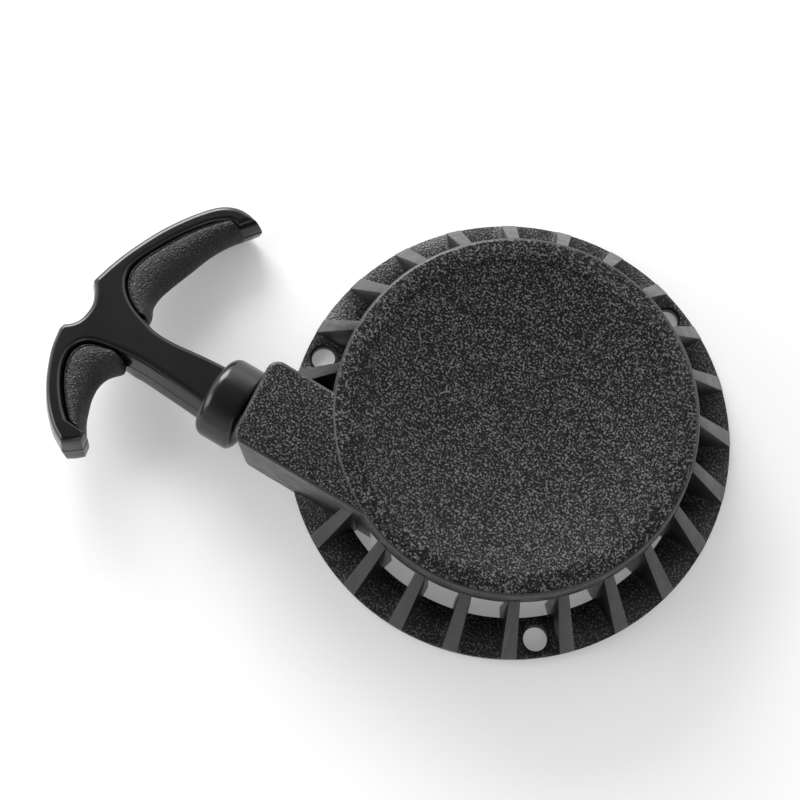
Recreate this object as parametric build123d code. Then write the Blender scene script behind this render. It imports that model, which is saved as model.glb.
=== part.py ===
from build123d import *
import math
import os

# Recoil starter for a small engine. Millimetres, +Z up through the lid.
# The origin is the centre of the bolt circle on the mounting face, and the rope pulls out along -X.

os.makedirs("parts", exist_ok=True)

# ---- Housing ----
FLANGE_R = 65.0
FLANGE_INNER_R = 53.3
FLANGE_T = 3.0
LID_TOP = 34.6
LID_T = 3.0
LID_UNDER = LID_TOP - LID_T
RIM_R = 51.5
RIM_TOP_R = 50.7
RIM_WALL = 2.8
RIM_INNER_R = RIM_R - RIM_WALL
RIM_BOTTOM = 26.5
EDGE_ROUND = 1.2
PANEL_R = 44.2
PANEL_DEPTH = 0.5
RIB_COUNT = 24
RIBS_LEFT_OUT = (14, 15)
RIB_INNER_R = 49.9
RIB_TOP = 29.0
RIB_T_TOP = 3.0
RIB_T_FOOT = 4.6
BOLT_CIRCLE_R = 59.6
BOLT_HOLE_R = 3.5
BOLT_CHAMFER = 0.5
BOLT_ANGLES = (67.5, 187.5, 307.5)

# ---- Rope line and neck ----
ROPE_Y = -35.2
ROPE_Z = 14.5
ROPE_R = 1.75
NECK_END_NEAR = -66.2
NECK_END_FAR = -64.0
NECK_Y_MIN = -46.3
NECK_Y_MAX = -20.8
NECK_TOP = LID_TOP - 0.4
NECK_WALL = 2.8
NECK_CORNER = 3.5
NECK_INNER_R = 50.2
BUSH_R = 5.0
BUSH_FLANGE_R = 7.0
BUSH_FLANGE_T = 1.2
BUSH_BORE_R = 2.4

# ---- Pivot post and what is stacked on it ----
POST_R = 6.0
POST_END = 10.2
SLEEVE_R = 7.0
INSERT_R = 4.5
SCREW_R = 3.0
INSERT_TOP = 26.0
THRUST_T = 1.0
THRUST_R = 11.5
REEL_BORE_R = SLEEVE_R + 0.06
HUB_R = 10.0
HUB_TOP = LID_UNDER - THRUST_T - 0.3

# ---- Spring and its case ----
CASE_R = 30.8
CASE_T = 0.8
CASE_TOP_T = 1.0
CASE_BOTTOM = 22.2
CASE_HOLE_R = 12.0
SEAT_RING_T = 2.2
SEAT_RING_BOTTOM = 24.0
SPRING_T = 0.5
SPRING_BOTTOM = 22.3
SPRING_TOP = 30.2
SPRING_OUTER_R = 26.4
SPRING_PITCH = 1.5
SPRING_HALF_TURNS = 21
OUTER_HOOK_R = 1.4
INNER_HOOK_R = 1.2
ANCHOR_R = 0.9

# ---- Reel and rope ----
REEL_R = 41.0
REEL_BOTTOM = 10.6
GROOVE_BOTTOM = 12.4
GROOVE_TOP = 16.6
REEL_TOP = 18.4
CORE_R = 18.8
SPRING_SEAT_R = 28.5
SPRING_SEAT_TOP = 21.8
ROPE_COIL_R = -ROPE_Y
ROPE_PITCH = 3.6
ROPE_HALF_TURNS = 8
TAIL_R = 7.0
KNOT_R = 3.3
POCKET_R = 4.2

# ---- Pawls, guide and fasteners under the reel ----
PAWL_TOP = 10.2
PAWL_BOTTOM = 6.2
PIVOT_CIRCLE_R = 15.0
PIVOT_ANGLES = {"a": 60.0, "b": 240.0}
PAWL_SPAN = 62.0
PAWL_INNER_R = 12.2
PAWL_OUTER_R = 18.2
PAWL_BOSS_R = 3.7
PAWL_SWING = 25.0
PIN_R = 1.75
PIN_TOP = 14.4
PIN_BOTTOM = 6.4
PEG_R = 1.2
PEG_CIRCLE_R = 14.5
PEG_LAG = 22.0
PAWL_SPRING_R = 2.7
PAWL_SPRING_WIRE_R = 0.3
GUIDE_TURN = 30.0
GUIDE_TOP = 5.9
GUIDE_BOTTOM = 4.2
GUIDE_R = 10.5
SLOT_CLEAR = 0.3
LOBE_WALL = 2.2
SPACER_R = 5.0
GUIDE_BORE_R = SPACER_R + 0.06
RETAINER_R = 10.0
RETAINER_BOTTOM = 9.2
SPACER_BOTTOM = 4.0
LOWER_WASHER_R = 8.5
LOWER_WASHER_BOTTOM = 3.0
SCREW_HEAD_R = 5.4
SCREW_HEAD_BOTTOM = 0.5
BRAKE_R = 6.6
BRAKE_WIRE_R = 0.45

# ---- Handle ----
COLLAR_R = 12.4
COLLAR_START = -66.6
COLLAR_END = -78.4
COLLAR_ROUND = 2.6
SPIGOT_R = 8.0
STEM_START = -66.0
STEM_FOOT = 12.5
GRIP_HALF_T = 6.85
GRIP_ROLL = -8.5
GRIP_ROUND = 2.0
GRIP_BORE_R = 2.4
CROWN_POCKET_R = 4.7
CROWN_POCKET_START = -111.0
WASHER_T = 1.2
WASHER_START = CROWN_POCKET_START - 0.1
WASHER_END = WASHER_START - WASHER_T
HANDLE_KNOT_X = WASHER_END - KNOT_R - 0.4


def save(shape, node):
    """Write one sub-part to its own STEP file."""
    export_step(shape, f"parts/{node}.step")


def disc(radius, bottom, top):
    """A cylinder about the reel's axis."""
    return Pos(0, 0, (bottom + top) / 2) * Cylinder(radius, top - bottom)


def tube(outer, inner, bottom, top):
    """A hollow cylinder about the reel's axis."""
    return disc(outer, bottom, top) - disc(inner, bottom - 1, top + 1)


def rod_x(radius, x_start, x_end, y=ROPE_Y, z=ROPE_Z):
    """A cylinder along X, by default on the rope's line."""
    middle = (x_start + x_end) / 2
    return Pos(middle, y, z) * Rot(0, 90, 0) * Cylinder(radius, abs(x_end - x_start))


def polar(radius, degrees):
    """X and Y of a point at a radius and an angle."""
    angle = math.radians(degrees)
    return radius * math.cos(angle), radius * math.sin(angle)


def trace(segments, start, heading, offset=0.0):
    """Edges of a path of tangent arcs, each (radius, turn), shifted to the right by offset.

    A positive turn goes left. Also returns where the path itself ends and its last heading."""
    x, y = start
    edges = []
    for radius, turn in segments:
        side = 1 if turn > 0 else -1
        cx = x - side * radius * math.sin(math.radians(heading))
        cy = y + side * radius * math.cos(math.radians(heading))
        from_centre = heading - side * 90
        edges.append(CenterArc((cx, cy), radius + side * offset, from_centre, turn))
        heading += turn
        from_centre += turn
        x = cx + radius * math.cos(math.radians(from_centre))
        y = cy + radius * math.sin(math.radians(from_centre))
    return edges, (x, y), heading


def spiral(outer_radius, pitch, half_turns):
    """Half-turn arcs that wind inwards by one pitch a turn."""
    return [(outer_radius - pitch / 2 * i, 180) for i in range(half_turns)]


# ---- starter_housing ----

def housing_rib():
    """One triangular gusset on the +X side, thinner towards its top."""
    side = Plane.XZ * Polygon(
        (RIB_INNER_R, 0), (FLANGE_R + 1, 0), (FLANGE_R + 1, FLANGE_T - 1), (FLANGE_R, FLANGE_T + 0.5),
        (RIM_R, RIB_TOP), (RIB_INNER_R, RIB_TOP), align=None)
    slab = extrude(side, RIB_T_FOOT, both=True)
    half_foot = RIB_T_FOOT / 2
    half_top = RIB_T_TOP / 2
    section = Plane.YZ * Polygon(
        (-half_foot, 0), (half_foot, 0), (half_top, RIB_TOP), (-half_top, RIB_TOP), align=None)
    wedge = extrude(section, FLANGE_R + 2)
    return slab & wedge & disc(FLANGE_R, -1, LID_TOP)


def neck_plan(inset):
    """The neck's outline from above, moved inwards by inset."""
    slope = (NECK_END_FAR - NECK_END_NEAR) / (NECK_Y_MIN - NECK_Y_MAX)
    y_low = NECK_Y_MIN + inset
    y_high = NECK_Y_MAX - inset
    x_low = NECK_END_FAR + inset + slope * inset
    x_high = NECK_END_NEAR + inset - slope * inset
    outline = Polygon((x_low, y_low), (0, y_low), (0, y_high), (x_high, y_high), align=None)
    corners = outline.vertices().sort_by(Axis.X)[:2]
    return fillet(corners, max(NECK_CORNER - inset, 0.8))


def make_housing():
    lid = Pos(0, 0, (RIM_BOTTOM + LID_TOP) / 2) * Cone(RIM_R, RIM_TOP_R, LID_TOP - RIM_BOTTOM)
    lid = fillet(lid.edges().group_by(Axis.Z)[-1], EDGE_ROUND)
    lid -= disc(RIM_INNER_R, RIM_BOTTOM - 1, LID_UNDER)
    flange = tube(FLANGE_R, FLANGE_INNER_R, 0, FLANGE_T)

    rib = housing_rib()
    step = 360 / RIB_COUNT
    ribs = [Rot(0, 0, i * step) * rib for i in range(RIB_COUNT) if i not in RIBS_LEFT_OUT]

    neck = extrude(neck_plan(0), NECK_TOP)
    top_edges = [e for e in neck.edges().group_by(Axis.Z)[-1] if e.center().X < -1]
    neck = fillet(top_edges, EDGE_ROUND)
    neck -= disc(NECK_INNER_R, -1, LID_UNDER)
    neck -= disc(RIM_R - 2, LID_UNDER - 1, LID_TOP)

    seat_ring = tube(CASE_R + SEAT_RING_T, CASE_R, SEAT_RING_BOTTOM, LID_UNDER + 0.5)
    post = disc(POST_R, POST_END, LID_UNDER + 0.5)
    web = Pos((CASE_R + SEAT_RING_T + RIM_INNER_R) / 2, 0, LID_UNDER - 1.5) * Box(
        RIM_INNER_R - CASE_R - SEAT_RING_T + 1, 2.0, 4.0)
    webs = [Rot(0, 0, 15 + i * 30) * web for i in range(12)]

    body = lid + [flange, neck, seat_ring, post] + ribs + webs

    channel = Pos(0, 0, -1) * extrude(neck_plan(NECK_WALL), NECK_TOP - NECK_WALL + 1)
    body -= channel - disc(CASE_R + SEAT_RING_T + 6, -2, LID_TOP)
    body -= disc(PANEL_R, LID_TOP - PANEL_DEPTH, LID_TOP + 1)
    body -= disc(INSERT_R, POST_END - 1, INSERT_TOP)
    body -= rod_x(BUSH_R, NECK_END_NEAR - 1, NECK_END_NEAR + 8)
    body -= rod_x(BUSH_FLANGE_R, NECK_END_NEAR - 1, bush_face() + BUSH_FLANGE_T)

    for angle in BOLT_ANGLES:
        x, y = polar(BOLT_CIRCLE_R, angle)
        body -= Pos(x, y, FLANGE_T / 2) * Cylinder(BOLT_HOLE_R, FLANGE_T + 2)
        body -= Pos(x, y, FLANGE_T - BOLT_CHAMFER / 2) * Cone(
            BOLT_HOLE_R, BOLT_HOLE_R + BOLT_CHAMFER, BOLT_CHAMFER)
    return body


def bush_face():
    """X where the bush's flange ends, just inside the sloping end of the neck."""
    middle = (ROPE_Y - NECK_Y_MIN) / (NECK_Y_MAX - NECK_Y_MIN)
    return NECK_END_FAR + (NECK_END_NEAR - NECK_END_FAR) * middle + 0.7


def make_bush():
    face = bush_face()
    barrel = rod_x(BUSH_R, face, face + NECK_WALL - 0.4)
    bush = barrel + rod_x(BUSH_FLANGE_R, face, face + BUSH_FLANGE_T)
    return bush - rod_x(BUSH_BORE_R, face - 1, face + NECK_WALL + 1)


# ---- pivot, washers and screw ----

def make_screw():
    shank = disc(SCREW_R, LOWER_WASHER_BOTTOM, INSERT_TOP - 4)
    head = disc(SCREW_HEAD_R, SCREW_HEAD_BOTTOM, LOWER_WASHER_BOTTOM)
    head = fillet(head.edges().group_by(Axis.Z)[0], 0.8)
    socket = extrude(RegularPolygon(2.9, 6), 1.8)
    return shank + head - Pos(0, 0, SCREW_HEAD_BOTTOM) * socket


# ---- recoil spring ----

def spring_start():
    """The outer end of the spiral, on its widest arc."""
    return (SPRING_OUTER_R, 0), 90


def anchor_centre():
    return SPRING_OUTER_R + OUTER_HOOK_R, 0


def inner_hook_centre():
    start, heading = spring_start()
    _, end, heading = trace(spiral(SPRING_OUTER_R, SPRING_PITCH, SPRING_HALF_TURNS), start, heading)
    left = math.radians(heading + 90)
    return end[0] + INNER_HOOK_R * math.cos(left), end[1] + INNER_HOOK_R * math.sin(left)


def make_recoil_spring():
    half = SPRING_T / 2
    start, heading = spring_start()
    run = spiral(SPRING_OUTER_R, SPRING_PITCH, SPRING_HALF_TURNS) + [(INNER_HOOK_R, 100)]
    hook = [(OUTER_HOOK_R, 200)]
    edges = []
    ends = []
    for offset in (half, -half):
        path, end, end_heading = trace(run, start, heading, offset)
        back, _, _ = trace(hook, start, heading + 180, -offset)
        edges += path + back
        ends.append((path[-1] @ 1, back[-1] @ 1))
    edges.append(Line(ends[0][0], ends[1][0]))
    edges.append(Line(ends[0][1], ends[1][1]))
    strip = make_face(edges)
    return Pos(0, 0, SPRING_BOTTOM) * extrude(strip, SPRING_TOP - SPRING_BOTTOM)


def make_spring_case():
    top = tube(CASE_R, CASE_HOLE_R, LID_UNDER - CASE_TOP_T, LID_UNDER)
    wall = tube(CASE_R, CASE_R - CASE_T, CASE_BOTTOM, LID_UNDER)
    return top + wall


# ---- reel and rope ----

def rope_path():
    """The rope's centre line on the reel, from where the straight rope meets it to the knot."""
    segments = spiral(ROPE_COIL_R, ROPE_PITCH, ROPE_HALF_TURNS) + [(TAIL_R, 90)]
    edges, end, _ = trace(segments, (0, ROPE_Y), 0)
    return Pos(0, 0, ROPE_Z) * Wire(edges), end


def rope_section(radius):
    return Plane(origin=(0, ROPE_Y, ROPE_Z), x_dir=(0, 1, 0), z_dir=(1, 0, 0)) * Circle(radius)


def knot_centre():
    _, end = rope_path()
    return end[0], end[1] + KNOT_R - 0.4


def make_reel():
    reel = disc(REEL_R, REEL_BOTTOM, GROOVE_BOTTOM)
    reel += disc(REEL_R, GROOVE_TOP, REEL_TOP)
    reel = fillet(reel.edges().filter_by(GeomType.CIRCLE), 0.6)
    reel += disc(CORE_R, GROOVE_BOTTOM - 0.2, GROOVE_TOP + 0.2)
    reel += disc(SPRING_SEAT_R, REEL_TOP - 0.2, SPRING_SEAT_TOP)
    reel += disc(HUB_R, SPRING_SEAT_TOP - 0.5, HUB_TOP)
    reel -= disc(REEL_BORE_R, REEL_BOTTOM - 1, HUB_TOP + 1)

    hook_x, hook_y = inner_hook_centre()
    notch = Cylinder(INNER_HOOK_R + 0.7, HUB_TOP - SPRING_SEAT_TOP + 1)
    reel -= Pos(hook_x, hook_y, (HUB_TOP + SPRING_SEAT_TOP + 1) / 2) * notch

    knot_x, knot_y = knot_centre()
    pocket_top = ROPE_Z + KNOT_R + 0.3
    reel -= Pos(knot_x, knot_y, (REEL_BOTTOM - 1 + pocket_top) / 2) * Cylinder(
        POCKET_R, pocket_top - REEL_BOTTOM + 1)
    tail_y = -ROPE_COIL_R + ROPE_PITCH * ROPE_HALF_TURNS / 2
    channel_bottom = REEL_BOTTOM - 1
    channel_top = ROPE_Z + ROPE_R + 0.25
    channel = Pos(TAIL_R / 2 + 0.5, tail_y + 2.8, (channel_bottom + channel_top) / 2) * Box(
        TAIL_R + 5, 9.6, channel_top - channel_bottom)
    reel -= channel & disc(CORE_R + 0.5, channel_bottom, channel_top)

    for angle in PIVOT_ANGLES.values():
        x, y = polar(PIVOT_CIRCLE_R, angle)
        recess_top = REEL_BOTTOM + 2.2
        reel -= Pos(x, y, (REEL_BOTTOM - 1 + PIN_TOP) / 2) * Cylinder(PIN_R, PIN_TOP - REEL_BOTTOM + 1)
        reel -= Pos(x, y, (REEL_BOTTOM - 1 + recess_top) / 2) * Cylinder(
            PAWL_SPRING_R + 0.6, recess_top - REEL_BOTTOM + 1)
    return reel


def make_rope_coil():
    path, _ = rope_path()
    return sweep(rope_section(ROPE_R), path=path)


# ---- pawls and guide ----

def pawl_sector(start, span, inner, outer, bottom, top):
    """Part of a ring between two angles, clockwise from start."""
    ring = tube(outer, inner, bottom, top)
    far = outer * 2
    points = [(0, 0)] + [polar(far, start - span + span * i / 3) for i in range(4)]
    wedge = Pos(0, 0, bottom) * extrude(Polygon(*points, align=None), top - bottom)
    return ring & wedge


def make_pawl(angle):
    x, y = polar(PIVOT_CIRCLE_R, angle)
    peg_x, peg_y = polar(PEG_CIRCLE_R, angle - PEG_LAG)
    middle = (PAWL_BOTTOM + PAWL_TOP) / 2
    height = PAWL_TOP - PAWL_BOTTOM
    arm = pawl_sector(angle, PAWL_SPAN, PAWL_INNER_R, PAWL_OUTER_R, PAWL_BOTTOM, PAWL_TOP)
    tooth = pawl_sector(
        angle - PAWL_SPAN + 14, 14, PAWL_INNER_R + 2, PAWL_OUTER_R + 1.3, PAWL_BOTTOM, PAWL_TOP)
    pawl = arm + tooth + Pos(x, y, middle) * Cylinder(PAWL_BOSS_R, height)
    pawl += Pos(peg_x, peg_y, (GUIDE_BOTTOM + 0.3 + PAWL_BOTTOM) / 2 + 0.2) * Cylinder(
        PEG_R, PAWL_BOTTOM - GUIDE_BOTTOM + 0.1)
    return pawl - Pos(x, y, middle) * Cylinder(PIN_R + 0.05, height + 2)


def peg_track(angle):
    """Where the peg stands, seen from the guide, as the guide turns and the pawl swings out."""
    pivot_x, pivot_y = polar(PIVOT_CIRCLE_R, angle)
    peg_x, peg_y = polar(PEG_CIRCLE_R, angle - PEG_LAG)
    arm_x = peg_x - pivot_x
    arm_y = peg_y - pivot_y
    track = []
    steps = 6
    for i in range(steps + 1):
        swing = math.radians(PAWL_SWING * i / steps)
        x = pivot_x + arm_x * math.cos(swing) - arm_y * math.sin(swing)
        y = pivot_y + arm_x * math.sin(swing) + arm_y * math.cos(swing)
        back = -math.radians(GUIDE_TURN * i / steps)
        track.append((x * math.cos(back) - y * math.sin(back), x * math.sin(back) + y * math.cos(back)))
    return track


def track_band(track, radius, bottom, top):
    """A band of a given half-width along the track."""
    band = None
    for (x0, y0), (x1, y1) in zip(track, track[1:]):
        length = math.hypot(x1 - x0, y1 - y0)
        turn = math.degrees(math.atan2(y1 - y0, x1 - x0))
        link = Pos((x0 + x1) / 2, (y0 + y1) / 2) * Rot(0, 0, turn) * SlotCenterToCenter(length, 2 * radius)
        band = link if band is None else band + link
    return Pos(0, 0, bottom) * extrude(band, top - bottom)


def make_guide():
    guide = disc(GUIDE_R, GUIDE_BOTTOM, GUIDE_TOP)
    slot_r = PEG_R + SLOT_CLEAR
    tracks = [peg_track(angle) for angle in PIVOT_ANGLES.values()]
    for track in tracks:
        guide += track_band(track, slot_r + LOBE_WALL, GUIDE_BOTTOM, GUIDE_TOP)
        neck = pawl_sector(
            math.degrees(math.atan2(track[0][1], track[0][0])), 26, GUIDE_R - 2, PEG_CIRCLE_R,
            GUIDE_BOTTOM, GUIDE_TOP)
        guide += neck
    for track in tracks:
        guide -= track_band(track, slot_r, GUIDE_BOTTOM - 1, GUIDE_TOP + 1)
    return guide - disc(GUIDE_BORE_R, GUIDE_BOTTOM - 1, GUIDE_TOP + 1)


def make_coil_spring(mean_radius, wire_radius, bottom, top, turns):
    """An open helical spring about the Z axis."""
    height = top - bottom - 2 * wire_radius
    helix = Helix(pitch=height / turns, height=height, radius=mean_radius)
    section = Plane(origin=helix @ 0, z_dir=helix % 0) * Circle(wire_radius)
    return Pos(0, 0, bottom + wire_radius) * sweep(section, path=helix, is_frenet=True)


# ---- handle ----

def grip_outline():
    """The T-handle from above: two unequal arms, a crown notch on the rope's line and the stem."""
    long_outer = Spline(
        (59.6, 9.6), (58.3, 16.4), (56.1, 23.7), (51.8, 34.5), (45.6, 45.0), (40.8, 49.8), (36.0, 51.4),
        (31.0, 51.3))
    long_tip = ThreePointArc((31.0, 51.3), (28.6, 49.8), (30.4, 47.0))
    long_inner = Spline(
        (30.4, 47.0), (36.3, 37.6), (38.8, 28.7), (41.0, 20.4), (41.8, 13.5), (39.0, 8.4), (34.0, 7.0))
    stem_high = Line((34.0, 7.0), (STEM_FOOT, 8.4))
    stem_end = Line((STEM_FOOT, 8.4), (STEM_FOOT, -7.8))
    stem_low = Line((STEM_FOOT, -7.8), (32.0, -6.4))
    short_inner = Spline(
        (32.0, -6.4), (37.2, -7.8), (40.8, -12.2), (41.2, -18.0), (38.7, -24.6), (34.0, -33.0))
    short_tip = ThreePointArc((34.0, -33.0), (34.8, -37.4), (39.6, -38.8))
    short_outer = Spline(
        (39.6, -38.8), (44.9, -35.4), (49.5, -30.9), (53.3, -25.8), (56.4, -20.2), (58.8, -14.7),
        (60.0, -8.8))
    notch = Polyline(
        (60.0, -8.8), (57.4, -5.4), (55.8, -2.6), (55.8, 3.0), (57.2, 6.2), (59.6, 9.6))
    edges = [long_outer, long_tip, long_inner, stem_high, stem_end, stem_low, short_inner, short_tip,
             short_outer, notch]
    face = make_face(Curve() + edges)
    return Pos(STEM_START, ROPE_Y) * mirror(face, about=Plane.YZ)


def roll(shape):
    """Turn a handle piece about the rope's line to how the handle hangs."""
    return Pos(0, ROPE_Y, ROPE_Z) * Rot(GRIP_ROLL, 0, 0) * Pos(0, -ROPE_Y, -ROPE_Z) * shape


def make_grip():
    plate = Pos(0, 0, ROPE_Z - GRIP_HALF_T) * extrude(grip_outline(), 2 * GRIP_HALF_T)
    faces = [plate.faces().sort_by(Axis.Z)[0], plate.faces().sort_by(Axis.Z)[-1]]
    rounded = [edge for face in faces for edge in face.outer_wire().edges()]
    grip = fillet(rounded, GRIP_ROUND)
    grip += rod_x(SPIGOT_R, COLLAR_START - 1, COLLAR_END - 1.6)
    grip -= rod_x(GRIP_BORE_R, STEM_START + 1, CROWN_POCKET_START - 1)
    grip -= rod_x(CROWN_POCKET_R, CROWN_POCKET_START, STEM_START - 62)
    return roll(grip)


def make_collar():
    collar = rod_x(COLLAR_R, COLLAR_START, COLLAR_END)
    collar = fillet(collar.edges().filter_by(GeomType.CIRCLE), COLLAR_ROUND)
    return collar - rod_x(SPIGOT_R, COLLAR_START + 1, COLLAR_END - 1)


def make_knot(x, y, z):
    """A tight overhand knot: a ball with one wrap round it."""
    wrap = Torus(KNOT_R - 0.9, 1.2)
    ball = Sphere(KNOT_R - 0.5)
    return Pos(x, y, z) * (ball + Rot(70, 0, 0) * wrap)


# ---- write every piece ----

save(make_housing(), "starter_housing")
save(make_bush(), "rope_guide_bush")
save(tube(SLEEVE_R, POST_R, POST_END, LID_UNDER), "pivot_sleeve")
save(tube(INSERT_R, SCREW_R, POST_END, INSERT_TOP - 1), "threaded_insert")
save(tube(THRUST_R, SLEEVE_R, LID_UNDER - THRUST_T, LID_UNDER), "upper_thrust_washer")
save(make_spring_case(), "spring_case")
anchor_x, anchor_y = anchor_centre()
save(Pos(anchor_x, anchor_y, (SPRING_BOTTOM + LID_UNDER - CASE_TOP_T) / 2) * Cylinder(
    ANCHOR_R, LID_UNDER - CASE_TOP_T - SPRING_BOTTOM), "spring_anchor_pin")
save(make_recoil_spring(), "recoil_spring")
save(make_reel(), "rope_reel")
save(make_rope_coil(), "rope_coil")
save(make_knot(*knot_centre(), ROPE_Z), "rope_reel_knot")
save(rod_x(ROPE_R, -0.3, HANDLE_KNOT_X + KNOT_R - 1.0), "rope_lead")
save(make_knot(HANDLE_KNOT_X, ROPE_Y, ROPE_Z), "rope_handle_knot")
save(rod_x(CROWN_POCKET_R - 0.3, WASHER_START, WASHER_END)
     - rod_x(ROPE_R + 0.1, WASHER_START + 1, WASHER_END - 1), "knot_washer")
save(make_grip(), "handle_grip")
save(make_collar(), "handle_collar")
save(tube(RETAINER_R, SCREW_R + 0.1, RETAINER_BOTTOM, POST_END), "retaining_washer")
save(tube(SPACER_R, SCREW_R + 0.1, SPACER_BOTTOM, RETAINER_BOTTOM), "spacer_sleeve")
save(tube(LOWER_WASHER_R, SCREW_R + 0.1, LOWER_WASHER_BOTTOM, SPACER_BOTTOM), "lower_washer")
save(make_screw(), "center_screw")
save(make_coil_spring(BRAKE_R, BRAKE_WIRE_R, GUIDE_TOP + 0.05, RETAINER_BOTTOM, 3), "brake_spring")
save(make_guide(), "pawl_guide")
for name, pivot_angle in PIVOT_ANGLES.items():
    pin_x, pin_y = polar(PIVOT_CIRCLE_R, pivot_angle)
    save(make_pawl(pivot_angle), f"pawl_{name}")
    save(Pos(pin_x, pin_y, (PIN_BOTTOM + PIN_TOP) / 2) * Cylinder(PIN_R, PIN_TOP - PIN_BOTTOM),
         f"pawl_pin_{name}")
    save(Pos(pin_x, pin_y) * make_coil_spring(
        PAWL_SPRING_R, PAWL_SPRING_WIRE_R, REEL_BOTTOM + 0.1, REEL_BOTTOM + 2.1, 3), f"pawl_spring_{name}")
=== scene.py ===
import math

import bmesh
import bpy
from bpy.props import FloatProperty, FloatVectorProperty, IntProperty, PointerProperty
from mathutils import Matrix, Vector
from mathutils.geometry import intersect_line_line_2d


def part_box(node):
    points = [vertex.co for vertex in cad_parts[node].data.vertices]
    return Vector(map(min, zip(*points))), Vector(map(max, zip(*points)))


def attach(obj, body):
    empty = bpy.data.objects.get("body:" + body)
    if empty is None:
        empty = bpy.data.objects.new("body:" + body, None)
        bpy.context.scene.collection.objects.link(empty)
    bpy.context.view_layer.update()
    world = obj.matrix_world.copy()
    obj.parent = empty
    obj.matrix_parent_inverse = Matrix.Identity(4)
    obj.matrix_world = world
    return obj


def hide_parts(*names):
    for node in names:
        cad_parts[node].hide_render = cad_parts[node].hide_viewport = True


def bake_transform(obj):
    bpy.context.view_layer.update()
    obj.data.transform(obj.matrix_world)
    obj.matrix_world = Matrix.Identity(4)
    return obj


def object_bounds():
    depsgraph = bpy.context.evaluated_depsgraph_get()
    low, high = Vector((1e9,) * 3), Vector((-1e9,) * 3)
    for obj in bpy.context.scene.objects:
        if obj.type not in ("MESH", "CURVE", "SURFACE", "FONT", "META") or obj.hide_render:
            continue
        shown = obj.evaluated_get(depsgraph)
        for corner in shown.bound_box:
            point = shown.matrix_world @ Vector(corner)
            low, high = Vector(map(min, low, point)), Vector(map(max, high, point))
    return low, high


bl_info = {
    "name": "Pull Starter",
    "version": (1, 0, 0),
    "blender": (4, 5, 0),
    "location": "View3D > Sidebar > Starter",
    "description": "Builds the visible pieces of a pull starter round its engineering frame",
    "category": "Add Mesh",
}

# ---- What the frame gives, in metres ----

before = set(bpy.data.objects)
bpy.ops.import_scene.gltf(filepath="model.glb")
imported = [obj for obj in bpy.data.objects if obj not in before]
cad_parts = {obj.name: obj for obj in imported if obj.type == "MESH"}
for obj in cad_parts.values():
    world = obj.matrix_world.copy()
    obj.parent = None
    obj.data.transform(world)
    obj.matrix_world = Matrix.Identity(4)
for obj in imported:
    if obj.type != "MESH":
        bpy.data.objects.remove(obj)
CAD_LOW, CAD_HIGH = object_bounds()
MM = 0.001

LEAD_LOW, LEAD_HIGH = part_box("rope_lead")
COLLAR_LOW, COLLAR_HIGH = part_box("handle_collar")
COVER_LOW, COVER_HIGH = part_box("starter_housing")
REEL_LOW, REEL_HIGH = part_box("rope_reel")
COIL_LOW, COIL_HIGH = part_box("rope_coil")
CROWN_KNOT_LOW, CROWN_KNOT_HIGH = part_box("rope_handle_knot")
REEL_KNOT_LOW, REEL_KNOT_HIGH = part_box("rope_reel_knot")

ROPE_Y = (LEAD_LOW.y + LEAD_HIGH.y) / 2
ROPE_Z = (LEAD_LOW.z + LEAD_HIGH.z) / 2
ROPE_R = (LEAD_HIGH.z - LEAD_LOW.z) / 2
COLLAR_R = (COLLAR_HIGH.y - COLLAR_LOW.y) / 2
WASHER_LOW, WASHER_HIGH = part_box("knot_washer")
WASHER_R = (WASHER_HIGH.y - WASHER_LOW.y) / 2
STEM_ROOT_X = COLLAR_HIGH.x + 0.6 * MM


# ---- Settings a user would change ----

class CoverSettings(bpy.types.PropertyGroup):
    edge_round: FloatProperty(
        name="Edge Round", description="Radius on the casting's edges",
        default=0.35 * MM, unit="LENGTH", precision=5)
    grain_size: FloatProperty(
        name="Grain Size", description="Width of one grain on the flat faces",
        default=0.60 * MM, unit="LENGTH", precision=5)
    grain_depth: FloatProperty(
        name="Grain Depth", description="Height of the grain on the flat faces",
        default=0.22 * MM, unit="LENGTH", precision=5)
    colour: FloatVectorProperty(
        name="Colour", description="Colour of the black casting",
        default=(0.004, 0.004, 0.0045), subtype="COLOR")
    # Painted sparkle: the colour painted on the grain's tops stands in for glints of light off the grain.
    painted_sparkle_colour: FloatVectorProperty(
        name="Painted Sparkle Colour", description="Colour on the tops of the grain",
        default=(0.135, 0.136, 0.139), subtype="COLOR")


class GripSettings(bpy.types.PropertyGroup):
    roll: FloatProperty(
        name="Roll", description="Turn of the handle about the rope",
        default=math.radians(-8.5), subtype="ANGLE")
    half_thickness: FloatProperty(
        name="Half Thickness", description="From the parting line to the flat top of the handle",
        default=6.85 * MM, unit="LENGTH", precision=5)
    colour: FloatVectorProperty(
        name="Colour", description="Colour of the glossy black plastic",
        default=(0.005, 0.005, 0.0055), subtype="COLOR")
    pad_grain: FloatProperty(
        name="Pad Grain", description="Width of one cell of the leather grain",
        default=0.85 * MM, unit="LENGTH", precision=5)


class RopeSettings(bpy.types.PropertyGroup):
    pitch: FloatProperty(
        name="Pitch", description="Distance between turns on the reel",
        default=3.6 * MM, unit="LENGTH", precision=5)
    half_turns: IntProperty(
        name="Half Turns", description="Half turns of rope on the reel", default=8)
    strand_count: IntProperty(
        name="Strands", description="Strands each way round the braid", default=8)
    colour: FloatVectorProperty(
        name="Colour", description="Colour of the rope", default=(0.035, 0.035, 0.038), subtype="COLOR")


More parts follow.
